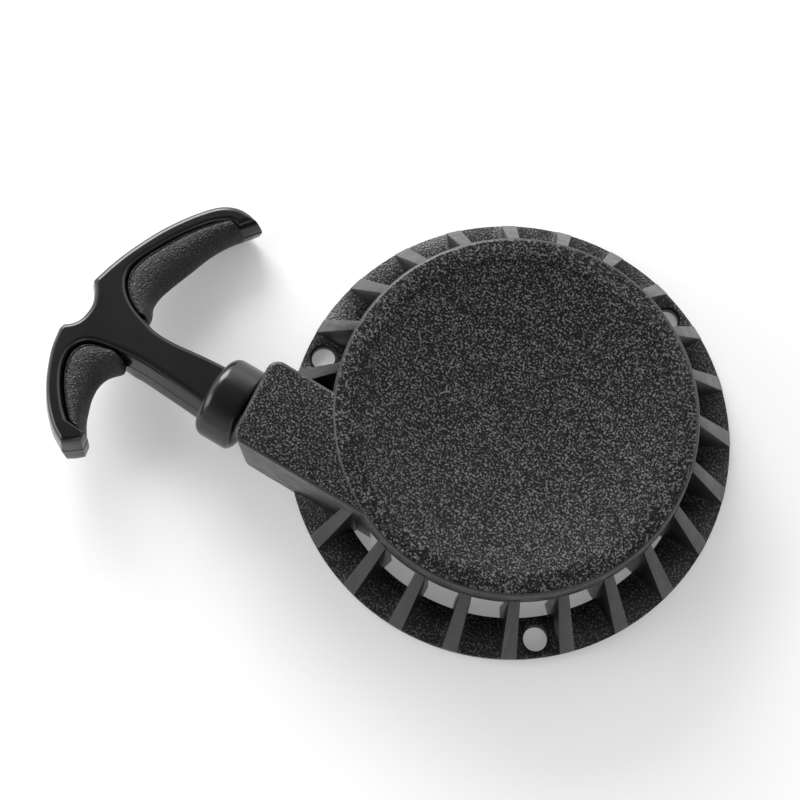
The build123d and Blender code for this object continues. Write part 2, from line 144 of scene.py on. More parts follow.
class StageSettings(bpy.types.PropertyGroup):
    azimuth: FloatProperty(
        name="Azimuth", description="Camera's turn about the vertical",
        default=math.radians(29.44), subtype="ANGLE")
    elevation: FloatProperty(
        name="Elevation", description="Camera's height angle", default=math.radians(76.68), subtype="ANGLE")
    roll: FloatProperty(
        name="Roll", description="Camera's turn about its own line", default=math.radians(1.54), subtype="ANGLE")
    distance: FloatProperty(
        name="Distance", description="From the camera to the middle of the view",
        default=0.5, unit="LENGTH")
    aim_right: FloatProperty(
        name="Aim Right", description="Origin's place to the right of the view's middle",
        default=31.88 * MM, unit="LENGTH", precision=5)
    aim_up: FloatProperty(
        name="Aim Up", description="Origin's place above the view's middle",
        default=-11.35 * MM, unit="LENGTH", precision=5)
    lens: FloatProperty(name="Lens", description="Focal length in millimetres", default=76.1)
    floor_colour: FloatVectorProperty(
        name="Floor Colour", description="Colour of the floor", default=(0.86, 0.86, 0.86), subtype="COLOR")
    floor_glow: FloatProperty(
        name="Floor Glow", description="How strongly the floor is lit from below", default=0.22)


# ---- Building materials ----

def new_material(name):
    material = bpy.data.materials.new(name)
    material.use_nodes = True
    return material, material.node_tree, material.node_tree.nodes["Principled BSDF"]


def node(tree, kind, inputs=None, **settings):
    """A new node with its settings, and its inputs set or linked."""
    made = tree.nodes.new("ShaderNode" + kind)
    for key, value in settings.items():
        setattr(made, key, value)
    for key, value in (inputs or {}).items():
        socket = made.inputs[key]
        if isinstance(value, bpy.types.NodeSocket):
            tree.links.new(value, socket)
        else:
            socket.default_value = value
    return made


def place(tree, scale=(1, 1, 1), rotation=(0, 0, 0)):
    """Object coordinates through a Mapping node."""
    where = node(tree, "TexCoord").outputs["Object"]
    return node(tree, "Mapping", {"Vector": where, "Scale": scale, "Rotation": rotation}).outputs["Vector"]


def noise(tree, size, detail=2.0, rough=0.5, vector=None, distortion=0.0):
    """Noise whose lumps are about size metres across."""
    inputs = {"Vector": vector or place(tree), "Scale": 1 / size, "Detail": detail, "Roughness": rough,
              "Distortion": distortion}
    return node(tree, "TexNoise", inputs).outputs["Fac"]


def ramp(tree, fac, stops, interpolation="LINEAR"):
    """A colour ramp; each stop is (position, colour) or (position, grey)."""
    made = node(tree, "ValToRGB", {"Fac": fac})
    made.color_ramp.interpolation = interpolation
    elements = made.color_ramp.elements
    while len(elements) < len(stops):
        elements.new(0.5)
    for element, (position, colour) in zip(elements, stops):
        element.position = position
        shade = (colour,) * 3 if isinstance(colour, (int, float)) else tuple(colour)
        element.color = (*shade[:3], 1)
    return made.outputs["Color"]


def maths(tree, operation, first, second=0.0, third=0.0):
    return node(tree, "Math", {0: first, 1: second, 2: third}, operation=operation).outputs[0]


def remap(tree, value, low, high, to_low=0.0, to_high=1.0):
    inputs = {"Value": value, "From Min": low, "From Max": high, "To Min": to_low, "To Max": to_high}
    return node(tree, "MapRange", inputs, interpolation_type="SMOOTHSTEP").outputs["Result"]


def mix_colour(tree, fac, first, second, blend="MIX"):
    made = node(tree, "Mix", data_type="RGBA", blend_type=blend)
    for socket, value in ((made.inputs[0], fac), (made.inputs[6], first), (made.inputs[7], second)):
        if isinstance(value, bpy.types.NodeSocket):
            tree.links.new(value, socket)
        elif isinstance(value, (int, float)):
            socket.default_value = value
        else:
            socket.default_value = (*tuple(value)[:3], 1)
    return made.outputs[2]


def bump(tree, height, strength, distance, normal=None):
    inputs = {"Height": height, "Strength": strength, "Distance": distance}
    if normal is not None:
        inputs["Normal"] = normal
    return node(tree, "Bump", inputs).outputs["Normal"]


def link(tree, source, shader, socket):
    tree.links.new(source, shader.inputs[socket])


# ---- Finishes ----

def cast_black():
    """Black casting: coarse grain on flat faces that glints through its bumps, with painted sparkle on the
    grain's tops and painted shade in its hollows; finer and smoother on ribs and walls.
    """
    s = bpy.context.scene.starter_cover
    material, tree, shader = new_material("cast_black")
    facing = node(tree, "SeparateXYZ", {0: node(tree, "TexCoord").outputs["Normal"]}).outputs["Z"]
    flat = remap(tree, maths(tree, "ABSOLUTE", facing), 0.86, 0.97)

    grains = noise(tree, s.grain_size, 2.0, 0.55)
    clumps = noise(tree, s.grain_size * 3.5, 2.0)
    coarse = maths(tree, "MULTIPLY_ADD", clumps, 0.18, grains)
    fine = noise(tree, s.grain_size * 0.28, 3.0, 0.6)

    coarse_normal = bump(tree, coarse, 0.8, s.grain_depth)
    fine_normal = bump(tree, fine, 0.5, s.grain_depth * 0.35)
    normal = node(tree, "Mix", data_type="VECTOR")
    tree.links.new(flat, normal.inputs[0])
    tree.links.new(fine_normal, normal.inputs[4])
    tree.links.new(coarse_normal, normal.inputs[5])
    link(tree, normal.outputs[1], shader, "Normal")

    # Painted sparkle and painted shade: on flat faces only, the grain's tops are painted in the bright sparkle
    # colour and its hollows darker than the casting.
    painted_sparkle = ramp(tree, coarse, [(0.50, [c * 0.3 for c in s.colour]), (0.60, s.colour),
                                 (0.66, [c * 0.4 for c in s.painted_sparkle_colour]), (0.75, s.painted_sparkle_colour)])
    patches = noise(tree, 22 * MM, 3.0)
    plain = mix_colour(tree, patches, [c * 0.9 for c in s.colour], [c * 1.7 for c in s.colour])
    colour = mix_colour(tree, flat, plain, painted_sparkle)
    link(tree, colour, shader, "Base Color")
    rough_flat = remap(tree, coarse, 0.56, 0.68, 0.30, 0.42)
    rough_plain = remap(tree, noise(tree, 5 * MM, 4.0), 0.3, 0.7, 0.33, 0.42)
    roughness = node(tree, "Mix", data_type="FLOAT")
    tree.links.new(flat, roughness.inputs[0])
    tree.links.new(rough_plain, roughness.inputs[2])
    tree.links.new(rough_flat, roughness.inputs[3])
    link(tree, roughness.outputs[0], shader, "Roughness")
    shader.inputs["Specular IOR Level"].default_value = 0.55
    return material


def gloss_black():
    """Glossy moulded plastic with a faint ripple, dust-fine specks and hairline scuffs."""
    s = bpy.context.scene.starter_grip
    material, tree, shader = new_material("gloss_black")
    ripple = noise(tree, 9 * MM, 2.0)
    specks = noise(tree, 0.35 * MM, 2.0)
    scuffs = noise(tree, 1.2 * MM, 4.0, 0.7, vector=place(tree, scale=(1, 9, 9)))
    shade = mix_colour(tree, remap(tree, noise(tree, 16 * MM, 3.0), 0.3, 0.7), s.colour,
                       [c * 1.6 for c in s.colour])
    link(tree, shade, shader, "Base Color")
    link(tree, remap(tree, scuffs, 0.35, 0.75, 0.17, 0.27), shader, "Roughness")
    low = bump(tree, ripple, 0.12, 0.5 * MM)
    link(tree, bump(tree, specks, 0.10, 0.05 * MM, low), shader, "Normal")
    shader.inputs["Specular IOR Level"].default_value = 0.5
    return material


def leather_black():
    """Moulded leather grain: rounded cells with creases between them."""
    s = bpy.context.scene.starter_grip
    material, tree, shader = new_material("leather_black")
    stir = noise(tree, s.pad_grain * 2.5, 2.0)
    warped = node(tree, "VectorMath", {0: place(tree), 1: node(
        tree, "CombineXYZ", {0: maths(tree, "MULTIPLY", stir, s.pad_grain * 0.9),
                             1: maths(tree, "MULTIPLY", stir, -s.pad_grain * 0.7),
                             2: maths(tree, "MULTIPLY", stir, s.pad_grain * 0.5)}).outputs[0]},
        operation="ADD").outputs[0]
    edge = node(tree, "TexVoronoi", {"Vector": warped, "Scale": 1 / s.pad_grain}, feature="DISTANCE_TO_EDGE")
    crease = remap(tree, edge.outputs["Distance"], 0.0, 0.28)
    pebbles = maths(tree, "MULTIPLY_ADD", noise(tree, s.pad_grain * 0.5, 3.0), 0.35, crease)
    link(tree, bump(tree, pebbles, 0.7, 0.22 * MM), shader, "Normal")
    # Painted shade: the creases between the cells are painted darker and the cells' tops lighter.
    colour = mix_colour(tree, crease, [c * 0.4 for c in s.colour], [c * 2.0 for c in s.colour])
    link(tree, colour, shader, "Base Color")
    link(tree, remap(tree, pebbles, 0.2, 1.2, 0.50, 0.34), shader, "Roughness")
    return material


def nylon_grey():
    """Natural grey nylon with flow marks."""
    material, tree, shader = new_material("nylon_grey")
    flow = noise(tree, 12 * MM, 4.0, 0.55, vector=place(tree, scale=(1, 1, 3)), distortion=0.6)
    link(tree, mix_colour(tree, flow, (0.17, 0.17, 0.168), (0.24, 0.24, 0.237)), shader, "Base Color")
    link(tree, remap(tree, noise(tree, 2 * MM, 3.0), 0.3, 0.7, 0.38, 0.52), shader, "Roughness")
    link(tree, bump(tree, noise(tree, 0.4 * MM, 2.0), 0.2, 0.06 * MM), shader, "Normal")
    return material


def plated_metal(name, dark, light, size, roughness):
    """Metal with drawn lines and cloudy plating."""
    material, tree, shader = new_material(name)
    cloud = noise(tree, size * 8, 4.0, 0.6)
    lines = noise(tree, size, 3.0, 0.7, vector=place(tree, scale=(1, 1, 14)))
    link(tree, mix_colour(tree, cloud, dark, light), shader, "Base Color")
    link(tree, remap(tree, lines, 0.3, 0.7, roughness - 0.07, roughness + 0.09), shader, "Roughness")
    link(tree, bump(tree, lines, 0.25, 0.03 * MM), shader, "Normal")
    shader.inputs["Metallic"].default_value = 1.0
    return material


def braid_height(tree, around, along, strands, length):
    """Height of a plain braid from the turn round the rope (0 to 1) and the way along it."""
    turn = maths(tree, "MULTIPLY", around, float(strands))
    way = maths(tree, "DIVIDE", along, length)
    right = maths(tree, "ADD", turn, way)
    left = maths(tree, "SUBTRACT", turn, way)
    crown_right = maths(tree, "ABSOLUTE", maths(tree, "SINE", maths(tree, "MULTIPLY", right, math.pi)))
    crown_left = maths(tree, "ABSOLUTE", maths(tree, "SINE", maths(tree, "MULTIPLY", left, math.pi)))
    weave = maths(tree, "MULTIPLY",
                  maths(tree, "SINE", maths(tree, "MULTIPLY", right, math.pi)),
                  maths(tree, "SINE", maths(tree, "MULTIPLY", left, math.pi)))
    over = remap(tree, weave, -0.25, 0.25)
    high = node(tree, "Mix", data_type="FLOAT")
    tree.links.new(over, high.inputs[0])
    tree.links.new(crown_left, high.inputs[2])
    tree.links.new(crown_right, high.inputs[3])
    return high.outputs[0]


def braided(name, straight):
    """Braided nylon cord. A straight rope reads its own line; a wound one reads its UV map."""
    s = bpy.context.scene.starter_rope
    material, tree, shader = new_material(name)
    if straight:
        centred = node(tree, "Mapping", {"Vector": node(tree, "TexCoord").outputs["Object"],
                                         "Location": (0, -ROPE_Y, -ROPE_Z)}).outputs["Vector"]
        parts = node(tree, "SeparateXYZ", {0: centred})
        angle = maths(tree, "ARCTAN2", parts.outputs["Z"], parts.outputs["Y"])
        around = maths(tree, "DIVIDE", angle, 2 * math.pi)
        along = parts.outputs["X"]
    else:
        parts = node(tree, "SeparateXYZ", {0: node(tree, "UVMap", uv_map="braid").outputs["UV"]})
        around = parts.outputs["X"]
        along = parts.outputs["Y"]
    height = braid_height(tree, around, along, s.strand_count // 2, 2.6 * MM)
    fibres = noise(tree, 0.12 * MM, 2.0)
    full = maths(tree, "MULTIPLY_ADD", fibres, 0.18, height)
    link(tree, bump(tree, full, 0.8, 0.3 * MM), shader, "Normal")
    # Painted shade: the braid is painted darker where the strands sink and lighter on their crowns.
    colour = mix_colour(tree, height, [c * 0.35 for c in s.colour], [c * 1.7 for c in s.colour])
    link(tree, colour, shader, "Base Color")
    link(tree, remap(tree, fibres, 0.3, 0.7, 0.55, 0.75), shader, "Roughness")
    shader.inputs["Sheen Weight"].default_value = 0.2
    shader.inputs["Sheen Roughness"].default_value = 0.4
    return material


def pale_floor():
    s = bpy.context.scene.starter_stage
    material, tree, shader = new_material("pale_floor")
    soft = [c * 0.985 for c in s.floor_colour]
    link(tree, mix_colour(tree, noise(tree, 0.4, 2.0), soft, s.floor_colour), shader, "Base Color")
    shader.inputs["Roughness"].default_value = 0.65
    shader.inputs["Specular IOR Level"].default_value = 0.3
    shader.inputs["Emission Color"].default_value = (1, 1, 1, 1)
    shader.inputs["Emission Strength"].default_value = s.floor_glow
    return material


def dress(piece, material):
    """Give a piece or a CAD node one material."""
    piece.data.materials.clear()
    piece.data.materials.append(material)


# ---- Making pieces ----

def finish_piece(name, bm, body, material, node_names=(), sharp=35.0):
    """Turn a bmesh into a piece that rides on a body."""
    piece = object_of(name, bm)
    for face in piece.data.polygons:
        face.use_smooth = True
    piece.data.set_sharp_from_angle(angle=math.radians(sharp))
    dress(piece, material)
    if body is not None:
        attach(piece, body)
    if node_names:
        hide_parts(*node_names)
    return piece


def resampled(points, count):
    """The same line with a number of evenly spaced points."""
    reach = [0.0]
    for first, second in zip(points, points[1:]):
        reach.append(reach[-1] + (second - first).length)
    even = []
    at = 0
    for i in range(count):
        goal = reach[-1] * i / (count - 1)
        while at < len(points) - 2 and reach[at + 1] < goal:
            at += 1
        span = reach[at + 1] - reach[at]
        even.append(points[at].lerp(points[at + 1], (goal - reach[at]) / span if span else 0.0))
    return even


def smooth_run(points, spacing=0.8):
    """Evenly spaced points on a smooth curve through the given ones."""
    given = [Vector(p) for p in points]
    given = [2 * given[0] - given[1]] + given + [2 * given[-1] - given[-2]]
    run = []
    for p0, p1, p2, p3 in zip(given, given[1:], given[2:], given[3:]):
        t1 = (p1 - p0).length ** 0.5
        t2 = t1 + (p2 - p1).length ** 0.5
        t3 = t2 + (p3 - p2).length ** 0.5
        for j in range(10):
            t = t1 + (t2 - t1) * j / 10
            a1 = p0.lerp(p1, t / t1)
            a2 = p1.lerp(p2, (t - t1) / (t2 - t1))
            a3 = p2.lerp(p3, (t - t2) / (t3 - t2))
            b1 = a1.lerp(a2, t / t2)
            b2 = a2.lerp(a3, (t - t1) / (t3 - t1))
            run.append(b1.lerp(b2, (t - t1) / (t2 - t1)))
    run.append(given[-2])
    length = sum((second - first).length for first, second in zip(run, run[1:]))
    return resampled(run, max(3, round(length / spacing) + 1))


def moved_run(run, distances):
    """A run of an outline moved sideways, with both ends carried on in a straight line."""
    moved = []
    for i, (point, distance) in enumerate(zip(run, distances)):
        along = (run[min(i + 1, len(run) - 1)] - run[max(i - 1, 0)]).normalized()
        moved.append(point + Vector((along.y, -along.x)) * distance)
    carry = 4 + max(abs(d) for d in distances) * 3
    first = moved[0] - (moved[1] - moved[0]).normalized() * carry
    last = moved[-1] + (moved[-1] - moved[-2]).normalized() * carry
    return [first] + moved + [last]


def crossing(first, second, near):
    """Where two lines cross, nearest to a point: the point, and each line's segment."""
    best = None
    for i, (a, b) in enumerate(zip(first, first[1:])):
        for j, (c, d) in enumerate(zip(second, second[1:])):
            hit = intersect_line_line_2d(a, b, c, d)
            if hit is not None and (best is None or (hit - near).length < (best[0] - near).length):
                best = (hit, i, j)
    if best is None:
        raise ValueError("two sides of the handle's outline don't meet")
    return best


def moved_outline(runs, distances):
    """A closed outline of smooth runs moved outwards, with the same number of points each time."""
    moved = [moved_run(run, out) for run, out in zip(runs, distances)]
    meets = []
    for i, run in enumerate(runs):
        meets.append(crossing(moved[i], moved[(i + 1) % len(runs)], run[-1]))
    points = []
    for i, run in enumerate(runs):
        start, _, after = meets[i - 1]
        end, before, _ = meets[i]
        points += resampled([start] + moved[i][after + 1:before + 1] + [end], len(run))[:-1]
    return points


def handle_space():
    """From the handle's own space (back along the rope, across, up) to the frame."""
    s = bpy.context.scene.starter_grip
    return Matrix.Translation((STEM_ROOT_X, ROPE_Y, ROPE_Z)) @ Matrix.Rotation(s.roll, 4, "X")


# The sides of the handle, in millimetres: back from the stem's root, and across.

LONG_OUTER = ((58.6, 9.0), (57.2, 15.9), (55.1, 23.1), (50.8, 33.8), (44.7, 44.0), (40.6, 48.5), (36.8, 50.3),
              (33.6, 50.4), (30.3, 49.6))
LONG_TIP = ((30.3, 49.6), (33.0, 45.9))
LONG_INNER = ((33.0, 45.9), (34.4, 46.4), (35.8, 46.6), (37.2, 46.1), (38.6, 45.0), (41.0, 42.7), (45.0, 36.9), (49.2, 29.0), (52.2, 21.2), (52.8, 17.8), (52.2, 15.0),
              (50.7, 12.4), (48.3, 10.1), (44.6, 7.9), (39.6, 6.2), (36.5, 5.3), (33.0, 5.0), (29.0, 5.1),
              (20.2, 6.1), (6.0, 7.3))
STEM_END = ((6.0, 7.3), (6.0, -6.7))
SHORT_INNER = ((6.0, -6.7), (14.0, -5.9), (20.0, -5.5), (27.0, -5.1), (33.8, -4.8), (39.1, -5.3), (44.0, -6.1),
               (47.6, -6.8), (50.1, -7.8), (51.8, -9.5), (52.9, -12.0), (52.9, -14.6), (52.0, -17.7),
               (49.8, -21.7), (46.3, -26.2), (43.3, -29.2), (41.3, -30.7))
SHORT_PAD_END = ((41.3, -30.7), (38.6, -30.8), (36.0, -31.1))
SHORT_SIDE = ((36.0, -31.1), (35.7, -32.5))
SHORT_TIP = ((35.7, -32.5), (37.7, -34.4), (40.4, -36.2))
SHORT_OUTER = ((40.4, -36.2), (43.9, -34.2), (48.5, -30.0), (52.3, -25.1), (55.4, -19.7), (57.7, -14.4),
               (59.0, -9.2))
NOTCH_LOW = ((59.0, -9.2), (58.7, -7.7))
NOTCH = ((58.7, -7.7), (57.0, -6.3), (55.6, -4.4), (54.9, -2.0), (54.9, 2.2), (55.8, 4.8), (57.2, 7.2),
         (58.6, 9.0))

# Each side with how far its wall stands out from the line, the share of the full rounding, and its shape:
# the lower half may mirror the upper one, or run straight down, or the whole may taper to a point.

SIDES = ((LONG_OUTER, 1.1, 1.0, "mirror"), (LONG_TIP, 0.65, 1.0, "taper"),
         (LONG_INNER, 0.0, 0.8, "mirror"), (STEM_END, 0.0, 0.3, "mirror"), (SHORT_INNER, 0.0, 0.8, "stem"),
         (SHORT_PAD_END, 0.0, 0.45, "mirror"), (SHORT_SIDE, 0.5, 0.5, "straight"),
         (SHORT_TIP, 1.4, 0.85, "straight"), (SHORT_OUTER, 0.3, 0.75, "mirror"), (NOTCH_LOW, 0.5, 0.8, "mirror"),
         (NOTCH, 0.8, 0.9, "mirror"))
STEM_WALL = 0.4
STEM_ROUND = 1.15
STEM_REACH = (36.0, 45.0)

# The section of a side from the flat top down: share of the half thickness, then how far it stands out from
# the wall line on an upper half, on a straight lower half, and on the tapered tip.

SECTION = ((1.0, -1.95, -0.40, -3.40), (1.0, -1.75, -0.20, -3.20), (0.985, -1.25, 0.30, -2.70),
           (0.94, -0.72, 0.75, -2.10), (0.87, -0.30, 1.00, -1.60), (0.79, -0.06, 1.10, -1.20),
           (0.50, 0.25, 0.95, -0.50), (0.25, 0.50, 0.80, -0.15), (0.05, 0.70, 0.70, 0.0),
           (0.035, 0.60, 0.60, -0.10), (0.030, 0.15, 0.15, -0.55))

# Stations along each pad: the border against the frame, then the finger edge at the parting line.

LONG_PAD = (((42.6, 7.3), (40.3, 8.0)), ((46.6, 9.2), (40.4, 10.0)), ((50.4, 12.6), (41.8, 12.6)),
            ((52.2, 16.6), (42.0, 16.4)), ((51.8, 21.5), (41.0, 21.0)), ((49.0, 28.8), (38.9, 28.3)),
            ((44.9, 36.8), (36.6, 36.4)), ((41.0, 42.6), (34.0, 42.2)), ((37.5, 46.6), (31.7, 45.9)))
SHORT_PAD = (((43.6, -6.6), (38.4, -6.8)), ((47.6, -7.6), (37.5, -8.6)), ((50.6, -9.1), (39.0, -10.6)),
             ((52.1, -12.1), (40.6, -13.0)), ((51.9, -15.6), (41.3, -16.4)), ((50.2, -19.6), (40.8, -20.2)),
             ((47.4, -23.6), (39.5, -23.8)), ((44.4, -27.1), (37.9, -27.3)), ((40.9, -30.4), (35.2, -31.2)))

# A pad's section: share of the way from the border to the finger edge, and share of the half thickness.

PAD_SECTION = ((-0.08, 0.50), (-0.012, 0.68), (0.010, 0.85), (0.028, 0.90), (0.048, 0.90), (0.062, 0.862),
               (0.078, 0.862), (0.105, 0.905), (0.16, 0.925), (0.25, 0.935), (0.36, 0.925), (0.48, 0.88),
               (0.60, 0.81), (0.70, 0.72), (0.80, 0.585), (0.88, 0.44), (0.94, 0.29), (0.98, 0.14), (1.0, 0.0))


def side_distance(side, point, row, lower):
    """How far a point of a side moves out at one row of the section."""
    _, wall, share, shape = side
    _, upper_out, straight_out, taper_out = row
    if shape == "taper":
        return wall + taper_out
    if shape == "stem":
        on_pad = min(1.0, max(0.0, (point.x - STEM_REACH[0]) / (STEM_REACH[1] - STEM_REACH[0])))
        out = straight_out if lower else upper_out
        return (STEM_WALL + out * STEM_ROUND) * (1 - on_pad) + (wall + upper_out * share) * on_pad
    if shape == "straight" and lower:
        return wall + straight_out * share
    return wall + upper_out * share


def bridged(bm, rings):
    """Join rings of points by faces, each ring to the next, and return the rings' edges."""
    loops = []
    for ring in rings:
        verts = [bm.verts.new(point) for point in ring]
        loops.append([bm.edges.new((verts[i - 1], verts[i])) for i in range(len(verts))])
    for first, second in zip(loops, loops[1:]):
        bmesh.ops.bridge_loops(bm, edges=first + second)
    return loops


def closed(bm, loops):
    """Close both ends of a row of rings and point the faces outwards."""
    for end in (loops[0], loops[-1]):
        bmesh.ops.contextual_create(bm, geom=end)
    bmesh.ops.recalc_face_normals(bm, faces=bm.faces[:])


def grip_frame():
    """The glossy frame of the handle: stem, crown and the strips round the pads, in one shell."""
    s = bpy.context.scene.starter_grip
    runs = [smooth_run(side[0]) for side in SIDES]
    rings = []
    for lower in (False, True):
        for row in reversed(SECTION) if lower else SECTION:
            distances = [[side_distance(side, point, row, lower) for point in run]
                         for side, run in zip(SIDES, runs)]
            height = row[0] * s.half_thickness * (-1 if lower else 1)
            rings.append([(-p.x * MM, p.y * MM, height) for p in moved_outline(runs, distances)])
    bm = bmesh.new()
    closed(bm, bridged(bm, rings))
    bmesh.ops.transform(bm, matrix=handle_space(), verts=bm.verts[:])
    return bm


def bored(bm, cutter):
    """Cut one closed shape out of another."""
    whole = object_of("bored", bm)
    tool = object_of("cutter", cutter)
    cut = whole.modifiers.new("cut", "BOOLEAN")
    cut.operation = "DIFFERENCE"
    cut.solver = "EXACT"
    cut.object = tool
    mesh = bpy.data.meshes.new_from_object(whole.evaluated_get(bpy.context.evaluated_depsgraph_get()))
    result = bmesh.new()
    result.from_mesh(mesh)
    bpy.data.meshes.remove(mesh)
    for used in (whole, tool):
        data = used.data
        bpy.data.objects.remove(used)
        bpy.data.meshes.remove(data)
    return result


def object_of(name, bm):
    """A new object in the scene with a bmesh's shape."""
    mesh = bpy.data.meshes.new(name)
    bm.to_mesh(mesh)
    bm.free()
    made = bpy.data.objects.new(name, mesh)
    bpy.context.scene.collection.objects.link(made)
    return made


def pad_shape(stations):
    """One finger pad, lofted through sections across the arm and closed at both ends."""
    s = bpy.context.scene.starter_grip
    count = 44
    borders = resampled(smooth_run([a for a, _ in stations]), count)
    fingers = resampled(smooth_run([b for _, b in stations]), count)
    rings = []
    for border, finger in zip(borders, fingers):
        half = [(border.lerp(finger, share), rise * s.half_thickness) for share, rise in PAD_SECTION]
        ring = half + [(p, -h) for p, h in reversed(half[:-1])]
        rings.append([(-p.x * MM, p.y * MM, h) for p, h in ring])
    bm = bmesh.new()
    closed(bm, bridged(bm, rings))
    bmesh.ops.transform(bm, matrix=handle_space(), verts=bm.verts[:])
    return bm


def turned(profile, segments=96):
    """A profile of (along X, radius) spun about the rope's line."""
    bm = bmesh.new()
    verts = [bm.verts.new((x, ROPE_Y, ROPE_Z + r)) for x, r in profile]
    edges = [bm.edges.new(pair) for pair in zip(verts, verts[1:] + verts[:1])]
    bmesh.ops.spin(bm, geom=verts + edges, cent=(0, ROPE_Y, ROPE_Z), axis=(1, 0, 0), angle=2 * math.pi,
                   steps=segments, use_merge=True)
    bmesh.ops.remove_doubles(bm, verts=bm.verts[:], dist=1e-7)
    bmesh.ops.dissolve_degenerate(bm, edges=bm.edges[:], dist=1e-7)
    bmesh.ops.recalc_face_normals(bm, faces=bm.faces[:])
    return bm


def arc_points(centre_x, centre_r, radius, start, end, steps=6):
    """Points on an arc in the (X, radius) plane; angles in degrees."""
    points = []
    for i in range(steps + 1):
        angle = math.radians(start + (end - start) * i / steps)
        points.append((centre_x + radius * math.cos(angle), centre_r + radius * math.sin(angle)))
    return points


def copied_node(name):
    """A merged copy of a CAD node's mesh with its flat faces joined."""
    bm = bmesh.new()
    bm.from_mesh(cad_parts[name].data)
    bmesh.ops.remove_doubles(bm, verts=bm.verts[:], dist=2e-6)
    bmesh.ops.dissolve_limit(bm, angle_limit=math.radians(0.6), verts=bm.verts[:], edges=bm.edges[:],
                             use_dissolve_boundaries=False)
    return bm


def rounded_edges(bm, radius, angle=28.0, segments=2):
    """Round every edge sharper than an angle."""
    sharp = [e for e in bm.edges if len(e.link_faces) == 2 and e.calc_face_angle(0) > math.radians(angle)]
    bmesh.ops.bevel(bm, geom=sharp, offset=radius, offset_type="OFFSET", affect="EDGES", segments=segments,
                    profile=0.5, material=-1, clamp_overlap=True)


def rope_tube(points, radius, sides, name="braid"):
    """A tube along points, with a UV map: U round the rope, V along it in metres."""
    bm = bmesh.new()
    loops = []
    for i, point in enumerate(points):
        before = points[max(i - 1, 0)]
        after = points[min(i + 1, len(points) - 1)]
        along = (after - before).normalized()
        out = along.cross(Vector((0, 0, 1))).normalized()
        up = out.cross(along)
        ring = []
        for k in range(sides):
            angle = 2 * math.pi * k / sides
            ring.append(bm.verts.new(point + out * math.cos(angle) * radius + up * math.sin(angle) * radius))
        loops.append(ring)
    layer = bm.loops.layers.uv.new(name)
    travelled = [0.0]
    for first, second in zip(points, points[1:]):
        travelled.append(travelled[-1] + (second - first).length)
    for i in range(len(loops) - 1):
        for k in range(sides):
            nxt = (k + 1) % sides
            face = bm.faces.new((loops[i][k], loops[i + 1][k], loops[i + 1][nxt], loops[i][nxt]))
            corners = ((k, i), (k, i + 1), (k + 1, i + 1), (k + 1, i))
            for loop, (turn, step) in zip(face.loops, corners):
                loop[layer].uv = (turn / sides, travelled[step])
    for ring in (loops[0], loops[-1]):
        bm.faces.new(ring)
    bmesh.ops.recalc_face_normals(bm, faces=bm.faces[:])
    return bm


def wound_path():
    """The rope's line on the reel: half turns that shrink by half a pitch each, then a tail inwards."""
    s = bpy.context.scene.starter_rope
    points = []
    radius = -ROPE_Y
    centre = Vector((0, 0, ROPE_Z))
    start = -90.0
    for i in range(s.half_turns):
        for j in range(48):
            angle = math.radians(start + 180 * j / 48)
            points.append(centre + Vector((math.cos(angle), math.sin(angle), 0)) * radius)
        start += 180
        end = centre + Vector((math.cos(math.radians(start)), math.sin(math.radians(start)), 0)) * radius
        radius -= s.pitch / 2
        centre = end - Vector((math.cos(math.radians(start)), math.sin(math.radians(start)), 0)) * radius
    tail = REEL_KNOT_LOW.lerp(REEL_KNOT_HIGH, 0.5)
    reach = tail.x
    centre = Vector((0, end.y + reach, ROPE_Z))
    for j in range(13):
        angle = math.radians(-90 + 90 * j / 12)
        points.append(centre + Vector((math.cos(angle), math.sin(angle), 0)) * reach)
    return points


def knot_path(centre, size, along_x):
    """A trefoil pulled tight, for an overhand knot."""
    points = []
    for i in range(96):
        t = 2 * math.pi * i / 96
        a = math.sin(t) + 2 * math.sin(2 * t)
        b = math.cos(t) - 2 * math.cos(2 * t)
        c = -math.sin(3 * t)
        local = Vector((c * 0.9, a * 0.55, b * 0.55)) if along_x else Vector((a * 0.55, b * 0.55, c * 0.9))
        points.append(centre + local * size)
    return points


def knot_mesh(name, points, radius):
    """A closed tube through the points of a knot."""
    curve = bpy.data.curves.new(name, "CURVE")
    curve.dimensions = "3D"
    curve.bevel_depth = radius
    curve.bevel_resolution = 4
    spline = curve.splines.new("POLY")
    spline.points.add(len(points) - 1)
    for target, point in zip(spline.points, points):
        target.co = (*point, 1)
    spline.use_cyclic_u = True
    holder = bpy.data.objects.new(name + "_line", curve)
    bpy.context.scene.collection.objects.link(holder)
    mesh = bpy.data.meshes.new_from_object(holder.evaluated_get(bpy.context.evaluated_depsgraph_get()))
    bpy.data.objects.remove(holder)
    bpy.data.curves.remove(curve)
    bm = bmesh.new()
    bm.from_mesh(mesh)
    bpy.data.meshes.remove(mesh)
    bmesh.ops.recalc_face_normals(bm, faces=bm.faces[:])
    return bm


# ---- Operators ----

class STARTER_OT_cover(bpy.types.Operator):
    """Build the fan cover with rounded casting edges"""
    bl_idname = "starter.cover"
    bl_label = "Fan Cover"

    def execute(self, context):
        s = context.scene.starter_cover
        bm = copied_node("starter_housing")
        rounded_edges(bm, s.edge_round)
        finish_piece("fan_cover", bm, "housing", cast_black(), ["starter_housing"])
        return {"FINISHED"}


